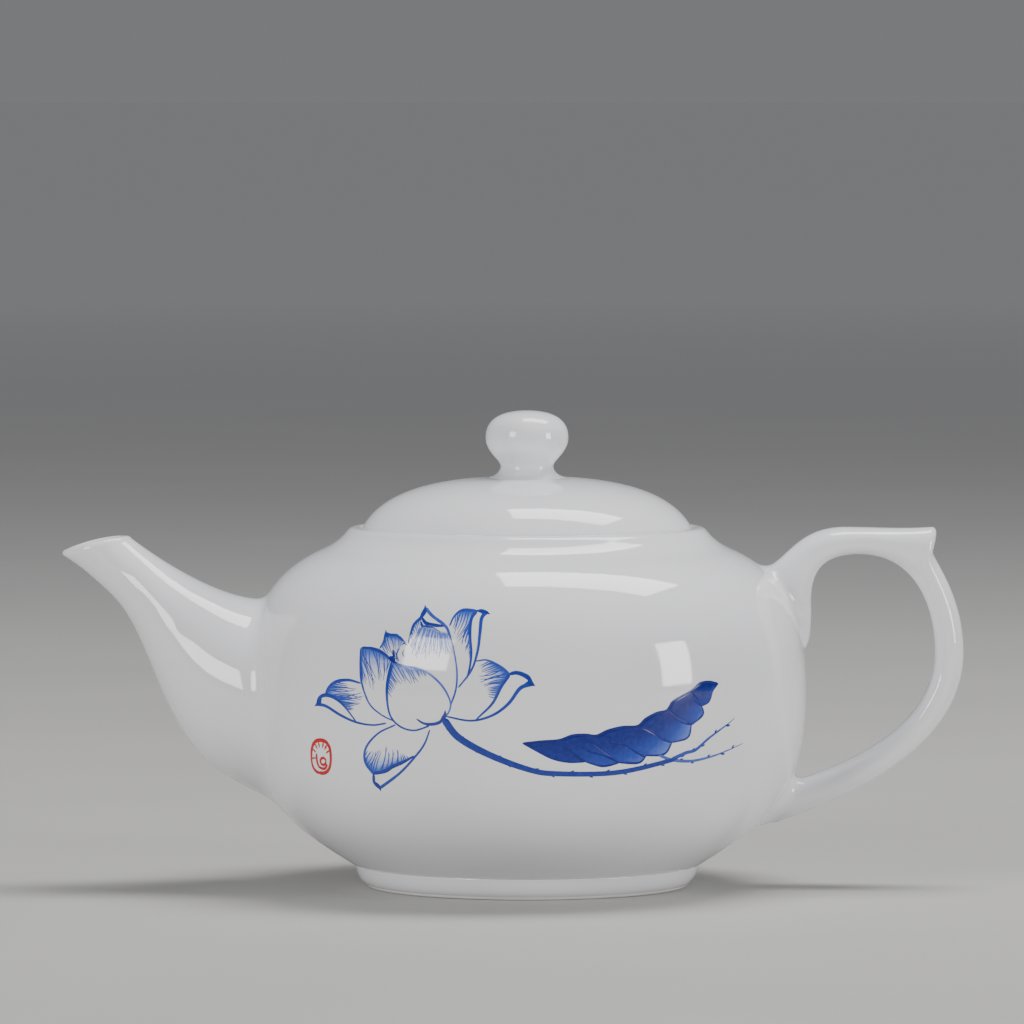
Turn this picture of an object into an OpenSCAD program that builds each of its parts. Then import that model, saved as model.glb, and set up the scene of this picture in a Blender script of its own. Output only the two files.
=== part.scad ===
// Small porcelain teapot with a printed blue lotus.
// X runs from the spout (-X) to the handle (+X), the decorated side faces -Y, +Z is up.
// The origin lies on the axis of the pot, in the plane that the foot ring stands on.

/* [Foot ring] */
// Outer radius of the foot ring where it meets the body
foot_top_r = 28.8; // [26:0.1:32]
// Outer radius of the foot ring just above the ground
foot_r = 26.8; // [24:0.1:30]
// Height of the foot ring
foot_h = 3.6; // [2:0.1:6]
// Thickness of the foot ring near the ground
foot_t = 2.8; // [2:0.1:5]

/* [Body] */
// Largest outer radius of the body
belly_r = 46.5; // [40:0.1:56]
// Height of the largest radius
belly_z = 32; // [26:0.1:40]
// Thickness of the body wall
wall = 2.8; // [2:0.1:4]
// Outer radius where the shoulder turns up into the collar
shoulder_r = 33.8; // [31:0.1:37]
// Height where the shoulder turns up into the collar
shoulder_z = 56.3; // [46:0.1:66]
// Rise of the collar above the shoulder
collar_h = 3.6; // [2.5:0.1:6]
// Radius of the mouth
mouth_r = 24.5; // [20:0.1:25.5]
// Radius of the outlet hole behind the spout
outlet_r = 8.5; // [6:0.1:10]
// Height of the outlet hole's centre
outlet_z = 27; // [24:0.1:32]

/* [Strainer] */
// Radius of the strainer dome at its edge
strainer_r = 11; // [10.5:0.1:13]
// Depth of the strainer dome
strainer_d = 5; // [3:0.1:8]
// Thickness of the strainer dome
strainer_t = 1.5; // [1:0.1:2.5]
// Diameter of one strainer hole
strainer_hole = 2.4; // [1.2:0.1:2.6]

/* [Spout] */
// Distance from the pot's axis to the tip of the lip
spout_reach = 77.3; // [68:0.1:90]
// Height of the lip above the ground
lip_z = 55.8; // [50:0.1:62]
// Length of the slanted mouth
spout_mouth_l = 11.3; // [9:0.1:14]
// Width of the mouth
spout_mouth_w = 9.6; // [8.5:0.1:14]
// Width of the spout's root
spout_root_w = 34; // [28:0.5:40]
// Thickness of the spout's wall
spout_wall = 1.9; // [1.4:0.1:2.4]

/* [Handle] */
// Distance from the pot's axis to the outside of the handle
handle_reach = 72.8; // [66:0.1:84]
// Height of the handle's flat top
handle_top_z = 59.9; // [54:0.1:68]
// Thickness of the handle's strap in its own plane
handle_t = 4.7; // [3.5:0.1:6.5]
// Width of the handle's strap across its plane
handle_w = 7; // [5:0.1:10]
// Distance that the thumb spur stands beyond the strap's corner
spur = 3; // [1:0.1:5]

/* [Lid] */
// Outer radius of the lid
lid_r = 27.4; // [26.9:0.1:28.2]
// Height of the lid's top above its seat
lid_h = 10.2; // [7:0.1:15]
// Thickness of the lid's edge
lid_edge = 1.8; // [1.2:0.1:2.4]
// Thickness of the lid's dome
lid_wall = 2.6; // [2:0.1:3.5]
// Depth of the locating flange under the lid
flange_h = 6.5; // [4:0.1:10]
// Thickness of the locating flange
flange_t = 2.2; // [1.6:0.1:3]
// Radius of the steam vent
vent_r = 1.1; // [0.8:0.1:2]
// Distance of the steam vent from the lid's centre
vent_d = 13; // [10:0.1:16]
// Largest radius of the knob
knob_r = 6.9; // [5:0.1:9]
// Radius of the knob's neck
neck_r = 4.4; // [3:0.1:4.6]
// Height of the knob above the lid
knob_h = 11; // [9:0.1:15]

/* [Transfers] */
// Thickness of a printed transfer above the glaze
film = 0.12; // [0.08:0.01:0.3]
// Width of the printed flower
flower_w = 35.4; // [28:0.1:40]
// Distance of the flower's base to the left of the pot's axis
flower_x = 13; // [8:0.1:16]
// Height of the flower's base
flower_z = 31.3; // [28:0.1:36]
// Width of the printed stem at the flower
stem_w = 1; // [0.6:0.1:2]
// Width of the red seal
seal_w = 3.6; // [2.5:0.1:6]
// Height of the red seal
seal_h = 5.9; // [4:0.1:8]

/* [Fit] */
// Gap between the lid's edge and the collar around it
lid_gap = 0.35; // [0.2:0.05:0.8]
// Gap between the lid's flange and the mouth
flange_gap = 0.5; // [0.3:0.05:1]
// Depth that luted pieces bite into each other
lute = 0.3; // [0.1:0.05:0.5]

/* [Hidden] */

porcelain = [0.93, 0.93, 0.95];
cobalt = [0.10, 0.22, 0.62];
iron_red = [0.78, 0.10, 0.08];

round_fn = 120;
trim_fn = 96;

collar_z = shoulder_z + collar_h;
seat_z = collar_z - lid_edge;
recess_r = lid_r + lid_gap;
bead_r = recess_r + 1.3;
foot_round = 0.5;
spout_sides = 36;
handle_sides = 20;

// ---- Curves ----

function mix(a, b, t) = a + (b - a) * t;

// Point and direction on a cubic curve
function curve_at(c, t) =
    pow(1 - t, 3) * c[0] + 3 * pow(1 - t, 2) * t * c[1] + 3 * (1 - t) * t * t * c[2] + t * t * t * c[3];
function curve_dir(c, t) =
    pow(1 - t, 2) * (c[1] - c[0]) + 2 * (1 - t) * t * (c[2] - c[1]) + t * t * (c[3] - c[2]);

// Points of a curve from one share of its length to another, without the last one
function curve(c, n, from = 0, to = 1) = [for (i = [0:n - 1]) curve_at(c, mix(from, to, i / n))];

// The same curve moved sideways, to the left of the way that it runs
function beside(c, n, d) = [
    for (i = [0:n])
        let (t = i / n, v = curve_dir(c, t))
        curve_at(c, t) + d * [-v[1], v[0]] / norm(v)
];

// ---- Outline of the body, as radius and height ----

bowl_start = [foot_top_r, foot_h];
belly = [belly_r, belly_z];
shoulder = [shoulder_r, shoulder_z];
bowl_curve = [
    bowl_start,
    [mix(foot_top_r, belly_r, 0.57), mix(foot_h, belly_z, 0.22)],
    [belly_r, mix(foot_h, belly_z, 0.37)],
    belly
];
shoulder_curve = [
    belly,
    [belly_r, mix(belly_z, shoulder_z, 0.33)],
    [belly_r, mix(belly_z, shoulder_z, 0.78)],
    shoulder
];
cove_top = [bead_r + 1.2, collar_z - 0.95];
cove_curve = [
    shoulder,
    mix(shoulder, cove_top, 0.4) + [0, -0.4],
    mix(shoulder, cove_top, 0.7) + [-0.15, -0.35],
    cove_top
];
bead_curve = [
    cove_top,
    [bead_r + 0.5, collar_z],
    [bead_r, collar_z],
    [recess_r + 0.5, collar_z]
];
outer_line = concat(
    curve(bowl_curve, 14), curve(shoulder_curve, 16), curve(cove_curve, 6), curve(bead_curve, 5),
    [[recess_r + 0.5, collar_z]]
);
core_line = concat(
    beside(bowl_curve, 14, lute), beside(shoulder_curve, 16, lute), [[shoulder_r - lute, collar_z]]
);

bowl_in = beside(bowl_curve, 14, wall);
shoulder_in = beside(shoulder_curve, 16, wall);
neck_in = shoulder_in[16];
throat_curve = [
    neck_in,
    mix(neck_in, [mouth_r, seat_z], 0.35) + [0, -0.4],
    [mouth_r, mix(neck_in[1], seat_z, 0.25)],
    [mouth_r, mix(neck_in[1], seat_z, 0.6)]
];

// Outer radius of the body at a height
radius_table = [for (p = outer_line) [p[1], p[0]]];
function body_r(z) = lookup(z, radius_table);

module body_core() {
    rotate_extrude($fn = trim_fn)
        polygon(concat([[0, foot_h + lute]], core_line, [[0, collar_z]]));
}

module body_cavity(grow) {
    rotate_extrude($fn = trim_fn)
        polygon(concat(
            [[0, bowl_in[0][1]]],
            beside(bowl_curve, 14, wall - grow),
            beside(shoulder_curve, 16, wall - grow),
            [[0, neck_in[1]]]
        ));
}

// ---- Pot ----

module pot_body() {
    color(porcelain)
        difference() {
            rotate_extrude($fn = round_fn)
                polygon(concat(
                    [[0, foot_h]],
                    outer_line,
                    [[recess_r, collar_z - 0.5], [recess_r, seat_z], [mouth_r, seat_z]],
                    [for (i = [12:-1:0]) curve_at(throat_curve, i / 12)],
                    [for (i = [15:-1:0]) shoulder_in[i]],
                    [for (i = [13:-1:0]) bowl_in[i]],
                    [[0, bowl_in[0][1]]]
                ));
            translate([-belly_r - wall, 0, outlet_z])
                rotate([0, 90, 0])
                    cylinder(r = outlet_r, h = 4 * wall, $fn = round_fn);
        }
}

module foot_ring() {
    foot_in = foot_r - foot_t;
    color(porcelain)
        rotate_extrude($fn = round_fn)
            polygon(concat(
                [[foot_top_r, foot_h]],
                curve([
                    [foot_top_r - 0.1, foot_h - 0.2], [foot_top_r - 0.5, foot_h * 0.5],
                    [foot_r + 0.9, foot_h * 0.25], [foot_r, foot_round]
                ], 6),
                curve([
                    [foot_r, foot_round], [foot_r - 0.1, 0.15], [foot_r - 0.3, 0], [foot_r - foot_round - 0.2, 0]
                ], 4),
                [[foot_r - foot_round - 0.2, 0], [foot_in + foot_round, 0], [foot_in, foot_round],
                    [foot_in - 0.5, foot_h]]
            ));
}

// ---- Spout ----

spout_top = -43;
spout_root_top = [spout_top, mix(belly_z, shoulder_z, 0.655)];
spout_root_low = [-foot_top_r - 11.5, foot_h + 9.6];
lip = [-spout_reach, lip_z];
mouth_back = lip + [spout_mouth_l * cos(12.5), spout_mouth_l * sin(12.5)];
spout_knee = [-spout_reach * 0.8, mix(spout_root_low[1], lip_z, 0.51)];
spout_upper = [
    spout_root_top,
    spout_root_top + [-7, -0.7],
    mouth_back + [5.7, -4.4],
    mouth_back
];
spout_lower_a = [
    spout_root_low,
    spout_root_low + [-10.8, 5.7],
    spout_knee + [6.4, -15.8],
    spout_knee
];
spout_lower_b = [
    spout_knee,
    spout_knee + [-5.4, 13.3],
    lip + [10.2, -9],
    lip
];
spout_steps = 24;
function spout_lower(s) = s < 0.5 ? curve_at(spout_lower_a, s * 2) : curve_at(spout_lower_b, s * 2 - 1);
function spout_half_w(s) = curve_at([spout_root_w / 2, spout_root_w * 0.46, spout_mouth_w * 0.55, spout_mouth_w / 2], s);

// One ring of the spout: its top and bottom come from the two edge curves
function spout_ring(s, inset, back = 0) =
    let (
        top = curve_at(spout_upper, s),
        low = spout_lower(s),
        mid = (top + low) / 2,
        arm = (top - low) / 2,
        tall = arm * (1 - inset / norm(arm)),
        half = spout_half_w(s) - inset
    )
    [for (k = [0:spout_sides - 1])
        let (a = 360 * k / spout_sides)
        [mid[0] + back + tall[0] * cos(a), half * sin(a), mid[1] + tall[1] * cos(a)]];

// Closed skin over a list of rings that all have the same number of points
module skin(rings) {
    n = len(rings[0]);
    last = len(rings) - 1;
    polyhedron(
        points = [for (r = rings) for (p = r) p],
        faces = concat(
            [[for (k = [0:n - 1]) k]],
            [for (i = [0:last - 1]) for (k = [0:n - 1])
                [i * n + k, (i + 1) * n + k, (i + 1) * n + (k + 1) % n, i * n + (k + 1) % n]],
            [[for (k = [n - 1:-1:0]) last * n + k]]
        ),
        convexity = 6
    );
}

module spout_solid(inset, root, over) {
    skin(concat(
        [spout_ring(0, inset, root)],
        [for (i = [0:spout_steps]) spout_ring(i / spout_steps, inset)],
        over > 0 ? [[for (p = spout_ring(1, inset)) p + [-0.4 * over, 0, over]]] : []
    ));
}

module spout() {
    color(porcelain)
        resize([0, 0, 0])
            difference() {
                spout_solid(0, 8, 0);
                spout_solid(spout_wall, 10, 1.5);
                body_core();
            }
}

// ---- Strainer ----

strainer_ball = (strainer_r * strainer_r + strainer_d * strainer_d) / (2 * strainer_d);
strainer_x = -sqrt(pow(belly_r - wall, 2) - strainer_r * strainer_r);
strainer_rows = [[0, 1], [0.36, 6], [0.7, 12]];

// Points of the dome's arc, from its top to its rim
function dome_arc(ball, rim) = [
    for (i = [0:6])
        let (a = asin(rim / ball) * i / 6)
        [ball * sin(a), strainer_d - strainer_ball + ball * cos(a)]
];

module spout_strainer() {
    inner_rim = strainer_r - strainer_t;
    color(porcelain)
        intersection() {
            translate([strainer_x, 0, outlet_z])
                rotate([0, 90, 0])
                    difference() {
                        rotate_extrude($fn = round_fn)
                            polygon(concat(
                                dome_arc(strainer_ball, strainer_r),
                                [[strainer_r, -wall], [inner_rim, -wall]],
                                [for (i = [6:-1:0]) dome_arc(strainer_ball - strainer_t, inner_rim)[i]]
                            ));
                        for (row = strainer_rows)
                            for (k = [0:row[1] - 1])
                                rotate([0, 0, 360 * k / row[1]])
                                    translate([row[0] * strainer_r, 0, 0])
                                        cylinder(d = strainer_hole, h = 2 * strainer_d, $fn = 24);
                    }
            body_cavity(lute);
        }
}

// ---- Handle ----

strap_out = [handle_reach, mix(foot_h, handle_top_z, 0.63)];
strap_in = strap_out - [handle_t + 0.1, 0];
loop_top_out = [mix(belly_r, handle_reach, 0.25), handle_top_z];
loop_top_in = [mix(belly_r, handle_reach, 0.33), handle_top_z - handle_t + 0.2];
upper_root_z = mix(belly_z, shoulder_z, 0.86);
upper_root = [body_r(upper_root_z), upper_root_z];
tail_z = mix(belly_z, shoulder_z, 0.575);
tail_root = [belly_r + 0.9, tail_z];
lower_root_out = [body_r(foot_h + 6.4) + 2, foot_h + 6.4];
lower_root_in = [body_r(foot_h + 13.7) + 0.4, foot_h + 13.7];
spur_tip = [handle_reach - 5.4, handle_top_z];
spur_notch = [handle_reach - 5.2, handle_top_z - 0.6 - spur];

handle_outer = concat(
    curve([upper_root, upper_root + [4.2, 1.8], loop_top_out - [8, 0], loop_top_out], 10),
    curve([loop_top_out, loop_top_out + [5, 0], spur_tip - [5, 0.4], spur_tip], 7),
    curve([spur_tip, spur_tip + [1.2, 0], spur_notch + [0.7, 1.9], spur_notch], 6),
    curve([spur_notch, spur_notch + [-0.6, -1.3], strap_out + [0, 10.2], strap_out], 10),
    curve([strap_out, strap_out - [0, 12.1], lower_root_out + [21.9, 7.2], lower_root_out], 16),
    [lower_root_out]
);
loop_corner = [loop_top_in, loop_top_in + [9.8, 0], strap_in + [0, 7.2], strap_in];
handle_inner = concat(
    curve([tail_root, tail_root + [0, 3.2], loop_top_in - [8.5, 0], loop_top_in], 10),
    curve(loop_corner, 7, 0, 0.38),
    curve(loop_corner, 6, 0.38, 0.5),
    curve(loop_corner, 10, 0.5, 1),
    curve([strap_in, strap_in - [0, 13.8], lower_root_in + [6.9, 2.4], lower_root_in], 16),
    [lower_root_in]
);
handle_last = len(handle_outer) - 1;
function handle_half_w(s) =
    curve_at([handle_w * 0.72, handle_w * 0.42, handle_w * 0.46, handle_w * 0.62], s);

function handle_ring(out, in, half) =
    let (mid = (out + in) / 2, arm = (out - in) / 2)
    [for (k = [0:handle_sides - 1])
        let (a = 360 * k / handle_sides)
        [mid[0] + arm[0] * cos(a), -half * sin(a), mid[1] + arm[1] * cos(a)]];

module handle() {
    tail_r = 1.2;
    tail_x = tail_root[0] - tail_r;
    color(porcelain)
        resize([0, 0, 0])
            difference() {
                union() {
                    skin(concat(
                        [handle_ring(upper_root - [5, 4], tail_root - [5, 4], handle_half_w(0))],
                        [for (i = [0:handle_last])
                            handle_ring(handle_outer[i], handle_inner[i], handle_half_w(i / handle_last))],
                        [handle_ring(lower_root_out - [5, -2], lower_root_in - [5, -2], handle_half_w(1))]
                    ));
                    hull() {
                        translate([tail_x - 2.4, 0, tail_z + 3])
                            scale([1, 1.1, 1])
                                sphere(r = 3.4, $fn = 28);
                        translate([tail_x - 0.8, 0, tail_z - 2])
                            sphere(r = 1.9, $fn = 28);
                        translate([tail_x, 0, tail_z - 3.8])
                            sphere(r = tail_r, $fn = 28);
                    }
                }
                body_core();
            }
}

// ---- Lid ----

lid_top = seat_z + lid_h;
flange_r = mouth_r - flange_gap;
flange_in = flange_r - flange_t;
dome_curve = [
    [lid_r, seat_z + lid_edge],
    [lid_r * 0.85, mix(seat_z + lid_edge, lid_top, 0.86)],
    [lid_r * 0.427, lid_top],
    [0, lid_top]
];
dome_under = [
    [flange_in, seat_z],
    [flange_in - 1.2, mix(seat_z, lid_top - lid_wall, 0.9)],
    [flange_in * 0.5, lid_top - lid_wall],
    [0, lid_top - lid_wall]
];

module lid_dome() {
    color(porcelain)
        difference() {
            rotate_extrude($fn = round_fn)
                polygon(concat(
                    [[lid_r - 0.3, seat_z], [lid_r, seat_z + 0.3]],
                    curve(dome_curve, 18),
                    [[0, lid_top]],
                    [for (i = [14:-1:0]) curve_at(dome_under, i / 14)]
                ));
            translate([0, vent_d, seat_z])
                cylinder(r = vent_r, h = 2 * lid_h, $fn = round_fn);
        }
}

module lid_flange() {
    color(porcelain)
        rotate_extrude($fn = round_fn)
            polygon(concat(
                [[flange_in, seat_z], [flange_in, seat_z - flange_h + 0.6]],
                [[flange_in + 0.6, seat_z - flange_h], [flange_r - 0.8, seat_z - flange_h]],
                [[flange_r, seat_z - flange_h + 0.8], [flange_r, seat_z]]
            ));
}

module lid_knob() {
    knob_z = lid_top + knob_h;
    foot_z = lid_top - lute;
    waist_z = lid_top + 1.8;
    wide_z = knob_z - 4.5;
    color(porcelain)
        rotate_extrude($fn = round_fn)
            polygon(concat(
                [[0, foot_z], [neck_r + 1.9, foot_z]],
                curve([
                    [neck_r + 1.9, lid_top - 0.05], [neck_r + 0.7, lid_top + 0.3],
                    [neck_r, lid_top + 0.9], [neck_r, waist_z]
                ], 7),
                curve([
                    [neck_r, waist_z], [neck_r, waist_z + 0.9],
                    [knob_r, wide_z - 2.4], [knob_r, wide_z]
                ], 8),
                curve([
                    [knob_r, wide_z], [knob_r, knob_z - 1.3], [knob_r * 0.6, knob_z], [0, knob_z]
                ], 12),
                [[0, knob_z]]
            ));
}

// ---- Transfers ----

// Sizes of the print are given for a flower 35.4 mm wide and grow with it
print_scale = flower_w / 35.4;

// Each petal: base, two points that pull its first side, tip, two points that pull its second side
petals = [
    [[-2.8, -1.3], [-8, -4.2], [-12, 2], [-8.8, 9.2], [-2, 8.6], [3.6, 0.4]],
    [[-7, -0.6], [-13, 1.5], [-14.8, 6], [-14, 10.8], [-8, 10.6], [-10, 2]],
    [[-7.2, -0.8], [-15, -1.8], [-18, 0.2], [-21.2, 1.4], [-19.5, 6.2], [-13, 6.4]],
    [[-8.2, 7.6], [-10.4, 10.5], [-10.8, 11.5], [-9.8, 13.4], [-7, 13.6], [-5.5, 11]],
    [[0, 2], [3.4, 8], [1.2, 15], [-3.4, 17.6], [-5.5, 15], [-8, 8]],
    [[1, 4], [5.5, 9.5], [4.2, 16], [6.6, 17.2], [0.6, 19], [-1.5, 13.5]],
    [[-1.4, 0.4], [6, -1.8], [8.5, 1.5], [13.7, 5.8], [9, 9.6], [3.4, 12]],
    [[-6.6, -1], [-14.5, -4], [-14, -7.5], [-10.9, -11.7], [-6, -8.5], [-1.4, -3.4]]
];
stem_line = [[0, 0], [4, -7], [20, -12.5], [37.5, -6.7]];
shoots = [
    [[36, -7.2], [39, -6], [42, -4], [46.9, -0.9]],
    [[36, -7.2], [39, -8], [44, -7], [48.3, -5.2]]
];
// Lobes of the rolled leaf: place and radius
leaf_lobes = [
    [18, -4.9, 1.9], [21.5, -5, 2.6], [26, -5, 2.9], [31, -4.2, 3.1], [35.2, -2.2, 3], [38.6, 0.5, 2.6],
    [41.3, 3.1, 2]
];
leaf_ends = [[12.5, -3.9, 0.2], [43.9, 5, 0.4]];
seal_place = [-20.6, -7.3];

module petal(p) {
    polygon(concat(
        curve([p[0], p[1], p[2], p[3]], 10),
        curve([p[3], p[4], p[5], p[0]], 10)
    ));
}

module stroke(c, from_w, to_w) {
    polygon(concat(
        [for (i = [0:16]) beside(c, 16, mix(from_w, to_w, i / 16) / 2)[i]],
        [for (i = [16:-1:0]) beside(c, 16, -mix(from_w, to_w, i / 16) / 2)[i]]
    ));
}

module spot(s) {
    translate([s[0], s[1]])
        circle(r = s[2], $fn = 32);
}

// A thin skin on the front of the body in the shape of the outline that it is given
module printed() {
    rows = 28;
    low = foot_h + 9;
    high = upper_root_z;
    resize([0, 0, 0])
        intersection() {
            rotate_extrude($fn = trim_fn)
                polygon(concat(
                    [for (i = [0:rows]) let (z = mix(low, high, i / rows)) [body_r(z) + film, z]],
                    [for (i = [rows:-1:0]) let (z = mix(low, high, i / rows)) [body_r(z) - film, z]]
                ));
            rotate([90, 0, 0])
                linear_extrude(belly_r + wall)
                    translate([-flower_x, flower_z])
                        scale(print_scale)
                            children();
        }
}

module lotus_transfer() {
    color(cobalt)
        printed()
            for (p = petals)
                petal(p);
}

module stem_transfer() {
    color(cobalt)
        printed() {
            stroke(stem_line, stem_w, stem_w);
            stroke(shoots[0], stem_w, 0.3);
            stroke(shoots[1], stem_w, 0.3);
        }
}

module leaf_transfer() {
    last = len(leaf_lobes) - 1;
    color(cobalt)
        printed() {
            hull() {
                spot(leaf_ends[0]);
                spot(leaf_lobes[0]);
            }
            for (lobe = leaf_lobes)
                spot(lobe);
            hull() {
                spot(leaf_lobes[last]);
                spot(leaf_ends[1]);
            }
        }
}

module seal_transfer() {
    corner = seal_w * 0.4;
    color(iron_red)
        printed()
            translate(seal_place)
                offset(r = corner, $fn = 32)
                    square([seal_w - 2 * corner, seal_h - 2 * corner], center = true);
}

pot_body();
foot_ring();
spout();
spout_strainer();
handle();
lid_dome();
lid_flange();
lid_knob();
lotus_transfer();
stem_transfer();
leaf_transfer();
seal_transfer();
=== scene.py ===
import math
import random

import bmesh
import bpy
import numpy as np
from mathutils import Euler, Matrix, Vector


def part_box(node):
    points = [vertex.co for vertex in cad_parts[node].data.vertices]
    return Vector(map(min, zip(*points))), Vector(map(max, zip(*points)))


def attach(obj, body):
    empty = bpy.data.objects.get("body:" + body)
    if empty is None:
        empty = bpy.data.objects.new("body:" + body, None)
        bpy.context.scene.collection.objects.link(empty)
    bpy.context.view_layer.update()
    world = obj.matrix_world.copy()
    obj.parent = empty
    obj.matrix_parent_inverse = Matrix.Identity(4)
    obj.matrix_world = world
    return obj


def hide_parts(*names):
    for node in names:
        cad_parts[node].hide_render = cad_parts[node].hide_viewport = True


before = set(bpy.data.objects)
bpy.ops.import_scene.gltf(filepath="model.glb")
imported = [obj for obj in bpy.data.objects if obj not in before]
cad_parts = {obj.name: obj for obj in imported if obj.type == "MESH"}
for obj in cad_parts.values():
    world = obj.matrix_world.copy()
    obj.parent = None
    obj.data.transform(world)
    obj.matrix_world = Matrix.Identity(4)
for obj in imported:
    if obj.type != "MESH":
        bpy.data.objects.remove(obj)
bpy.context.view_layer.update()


# The studio: a wide pale table top, one broad light above the pot and two
# window-shaped lights in front of it, left and right, that the glaze mirrors.
# The camera looks along +Y, a little down, at the decorated side.

class Value:
    """A socket of a shader that plain arithmetic works on; every step adds a Math node."""

    def __init__(self, finish, socket):
        self.finish = finish
        self.socket = socket

    def step(self, operation, first, second):
        return self.finish.add("ShaderNodeMath", {"operation": operation}, {0: first, 1: second})

    def __add__(self, other):
        return self.step("ADD", self, other)

    def __sub__(self, other):
        return self.step("SUBTRACT", self, other)

    def __rsub__(self, other):
        return self.step("SUBTRACT", other, self)

    def __mul__(self, other):
        return self.step("MULTIPLY", self, other)

    def clamped(self):
        return self.finish.add("ShaderNodeClamp", {}, {"Value": self})

    __radd__ = __add__
    __rmul__ = __mul__


class Finish:
    """A material with one Principled shader, and the nodes that feed it."""

    def __init__(self, name, **constants):
        self.material = bpy.data.materials.new(name)
        self.material.use_nodes = True
        self.tree = self.material.node_tree
        self.shader = self.tree.nodes["Principled BSDF"]
        for socket, value in constants.items():
            self.shader.inputs[socket.replace("_", " ")].default_value = value

    def add(self, kind, settings, inputs, output=0):
        node = self.tree.nodes.new(kind)
        for name, value in settings.items():
            if name == "stops":
                ramp = node.color_ramp
                while len(ramp.elements) < len(value):
                    ramp.elements.new(1.0)
                for element, (place, colour) in zip(ramp.elements, value):
                    element.position = place
                    element.color = (*colour, 1.0)
            else:
                setattr(node, name, value)
        for name, value in inputs.items():
            if isinstance(value, Value):
                self.tree.links.new(value.socket, node.inputs[name])
            else:
                node.inputs[name].default_value = value
        return Value(self, node.outputs[output])

    def feed(self, **inputs):
        for socket, value in inputs.items():
            self.tree.links.new(value.socket, self.shader.inputs[socket.replace("_", " ")])

    def place(self):
        return self.add("ShaderNodeTexCoord", {}, {}, "Object")

    def noise(self, scale, detail=2.0):
        return self.add("ShaderNodeTexNoise", {}, {"Vector": self.place(), "Scale": scale, "Detail": detail})


table_tone = (0.50, 0.49, 0.475)
table_shade = (0.47, 0.462, 0.45)
table_far = (0.96, 0.96, 0.96, 1.0)
table_finish = Finish("pale table top", Roughness=0.75)
table_near = table_finish.add(
    "ShaderNodeValToRGB", {"stops": [(0.3, table_shade), (0.7, table_tone)]}, {"Fac": table_finish.noise(9.0, 4.0)})
table_distance = table_finish.add("ShaderNodeVectorMath", {"operation": "LENGTH"}, {0: table_finish.place()}, 1)
table_fade = ((table_distance - 0.35) * 0.3).clamped()
table_finish.feed(Base_Color=table_finish.add(
    "ShaderNodeMix", {"data_type": "RGBA"}, {0: table_fade, 6: table_near, 7: table_far}, 2))
table_reach = 40.0
table_mesh = bpy.data.meshes.new("table_top")
table_mesh.from_pydata(
    [(-table_reach, -table_reach, 0), (table_reach, -table_reach, 0),
     (table_reach, table_reach, 0), (-table_reach, table_reach, 0)], [], [(0, 1, 2, 3)])
table_mesh.materials.append(table_finish.material)
table_top = bpy.data.objects.new("table_top", table_mesh)
bpy.context.scene.collection.objects.link(table_top)

studio_air = bpy.data.worlds.new("studio air")
studio_air.use_nodes = True
studio_air.node_tree.nodes["Background"].inputs["Color"].default_value = (0.84, 0.85, 0.88, 1.0)
studio_air.node_tree.nodes["Background"].inputs["Strength"].default_value = 0.23
bpy.context.scene.world = studio_air

pot_middle = np.array([0.0, 0.0, 0.042])


def hang_light(name, azimuth, elevation, spin, distance, width, height, radiance):
    """A rectangular light that faces the pot; azimuth is from the camera's side towards the handle."""
    across = math.cos(math.radians(elevation))
    way = np.array([
        math.sin(math.radians(azimuth)) * across,
        -math.cos(math.radians(azimuth)) * across,
        math.sin(math.radians(elevation))])
    lamp = bpy.data.lights.new(name, "AREA")
    lamp.shape = "RECTANGLE"
    lamp.size = width
    lamp.size_y = height
    lamp.energy = radiance * math.pi * width * height
    light = bpy.data.objects.new(name, lamp)
    light.location = pot_middle + way * distance
    facing = Euler((math.radians(90 - elevation), 0, math.radians(azimuth))).to_matrix()
    light.rotation_euler = (facing @ Matrix.Rotation(math.radians(spin), 3, "Z")).to_euler()
    bpy.context.scene.collection.objects.link(light)
    return light


hang_light("overhead_light", 126, 73, 54, 0.9, 0.62, 0.34, 12.5)
hang_light("right_window", 63, 10, 0, 1.0, 0.25, 0.36, 17.0)
hang_light("left_window", -42, 17, 0, 1.0, 0.34, 0.36, 14.0)

camera_distance = 1.4
camera_height = 0.135
camera_lens = 295.8
camera_tilt = math.radians(90 - 2.97)
camera_turn = math.radians(0.102)
camera_data = bpy.data.cameras.new("camera")
camera_data.lens = camera_lens
camera_data.sensor_width = 36.0
camera_data.clip_end = 200.0
camera = bpy.data.objects.new("camera", camera_data)
camera.location = (0.0, -camera_distance, camera_height)
camera.rotation_euler = (camera_tilt, 0, camera_turn)
bpy.context.scene.collection.objects.link(camera)
bpy.context.scene.camera = camera


# Body: a squat porcelain vessel cast in one, with a full belly, a shoulder
# that turns up into a beaded collar, a recessed seat for the lid and a round
# outlet behind the spout. The glaze is clear, glossy and cool white.
# Sizes in millimetres; the widest and highest come from the frame.

def sizes_of(node):
    """Lowest and highest corner of a node in the frame, in millimetres."""
    low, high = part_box(node)
    return np.array(low) * 1000, np.array(high) * 1000


def mix(a, b, share):
    return a + (b - a) * share


def curve(points, count, last=True):
    """Points along a cubic curve between its first and last point."""
    p = np.array(points, float)
    t = np.linspace(0, 1, count + 1)[:, None]
    line = (1 - t) ** 3 * p[0] + 3 * (1 - t) ** 2 * t * p[1] + 3 * (1 - t) * t * t * p[2] + t ** 3 * p[3]
    return line if last else line[:-1]


def beside(line, distance):
    """A line moved to the left of the way that it runs."""
    way = np.gradient(line, axis=0)
    way /= np.linalg.norm(way, axis=1)[:, None]
    return line + distance * np.stack([-way[:, 1], way[:, 0]], axis=1)


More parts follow.
